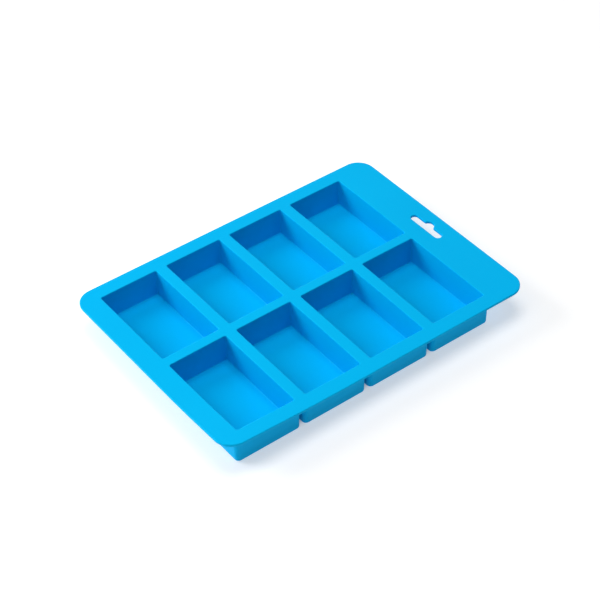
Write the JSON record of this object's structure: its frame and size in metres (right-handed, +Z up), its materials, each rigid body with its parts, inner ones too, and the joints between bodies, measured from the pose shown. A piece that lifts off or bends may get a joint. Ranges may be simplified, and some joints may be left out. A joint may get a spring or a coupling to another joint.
{
  "type": "silicone soap mould",
  "caption": "Flexible silicone soap mould: a thin deck sheet with rectangular bar cavities in rows, cups hanging below it, and a wide end flange with a hang slot.",
  "frame": {"origin": "on the surface that the mould stands on, under the middle of the deck", "axes": "+X along the mould towards the end flange with the hang slot, +Y towards the back row of cavities, +Z up out of the cavity mouths"},
  "size_m": [0.263, 0.19, 0.0265],
  "materials": {
    "silicone": "satin moulded silicone, sky blue"
  },
  "bodies": {
    "column_1": {"deck_panel_1": "silicone", "cup_front_1": "silicone", "cup_back_1": "silicone"},
    "column_2": {"deck_panel_2": "silicone", "cup_front_2": "silicone", "cup_back_2": "silicone", "cross_web_1": "silicone", "cross_web_2": "silicone"},
    "column_3": {"deck_panel_3": "silicone", "cup_front_3": "silicone", "cup_back_3": "silicone", "cross_web_3": "silicone"},
    "column_4": {"deck_panel_4": "silicone", "cup_front_4": "silicone", "cup_back_4": "silicone", "tab_web": "silicone"},
    "tab": {"hang_tab": "silicone"}
  },
  "joints": [
    {"name": "web_1_bend", "type": "hinge", "parent": "column_2", "child": "column_1", "pos_m": [-0.0635, 0, 0.0255], "axis": [0, 1, 0], "range_deg": [-5, 60], "stiffness_Nm_per_rad": 0.09, "deforming": ["cross_web_1"]},
    {"name": "web_2_bend", "type": "hinge", "parent": "column_2", "child": "column_3", "pos_m": [-0.0075, 0, 0.0255], "axis": [0, -1, 0], "range_deg": [-5, 60], "stiffness_Nm_per_rad": 0.09, "deforming": ["cross_web_2"]},
    {"name": "web_3_bend", "type": "hinge", "parent": "column_3", "child": "column_4", "pos_m": [0.0485, 0, 0.0255], "axis": [0, -1, 0], "range_deg": [-5, 60], "stiffness_Nm_per_rad": 0.09, "deforming": ["cross_web_3"]},
    {"name": "tab_bend", "type": "hinge", "parent": "column_4", "child": "tab", "pos_m": [0.108, 0, 0.0255], "axis": [0, -1, 0], "range_deg": [-60, 60], "stiffness_Nm_per_rad": 0.05, "deforming": ["tab_web"]}
  ]
}
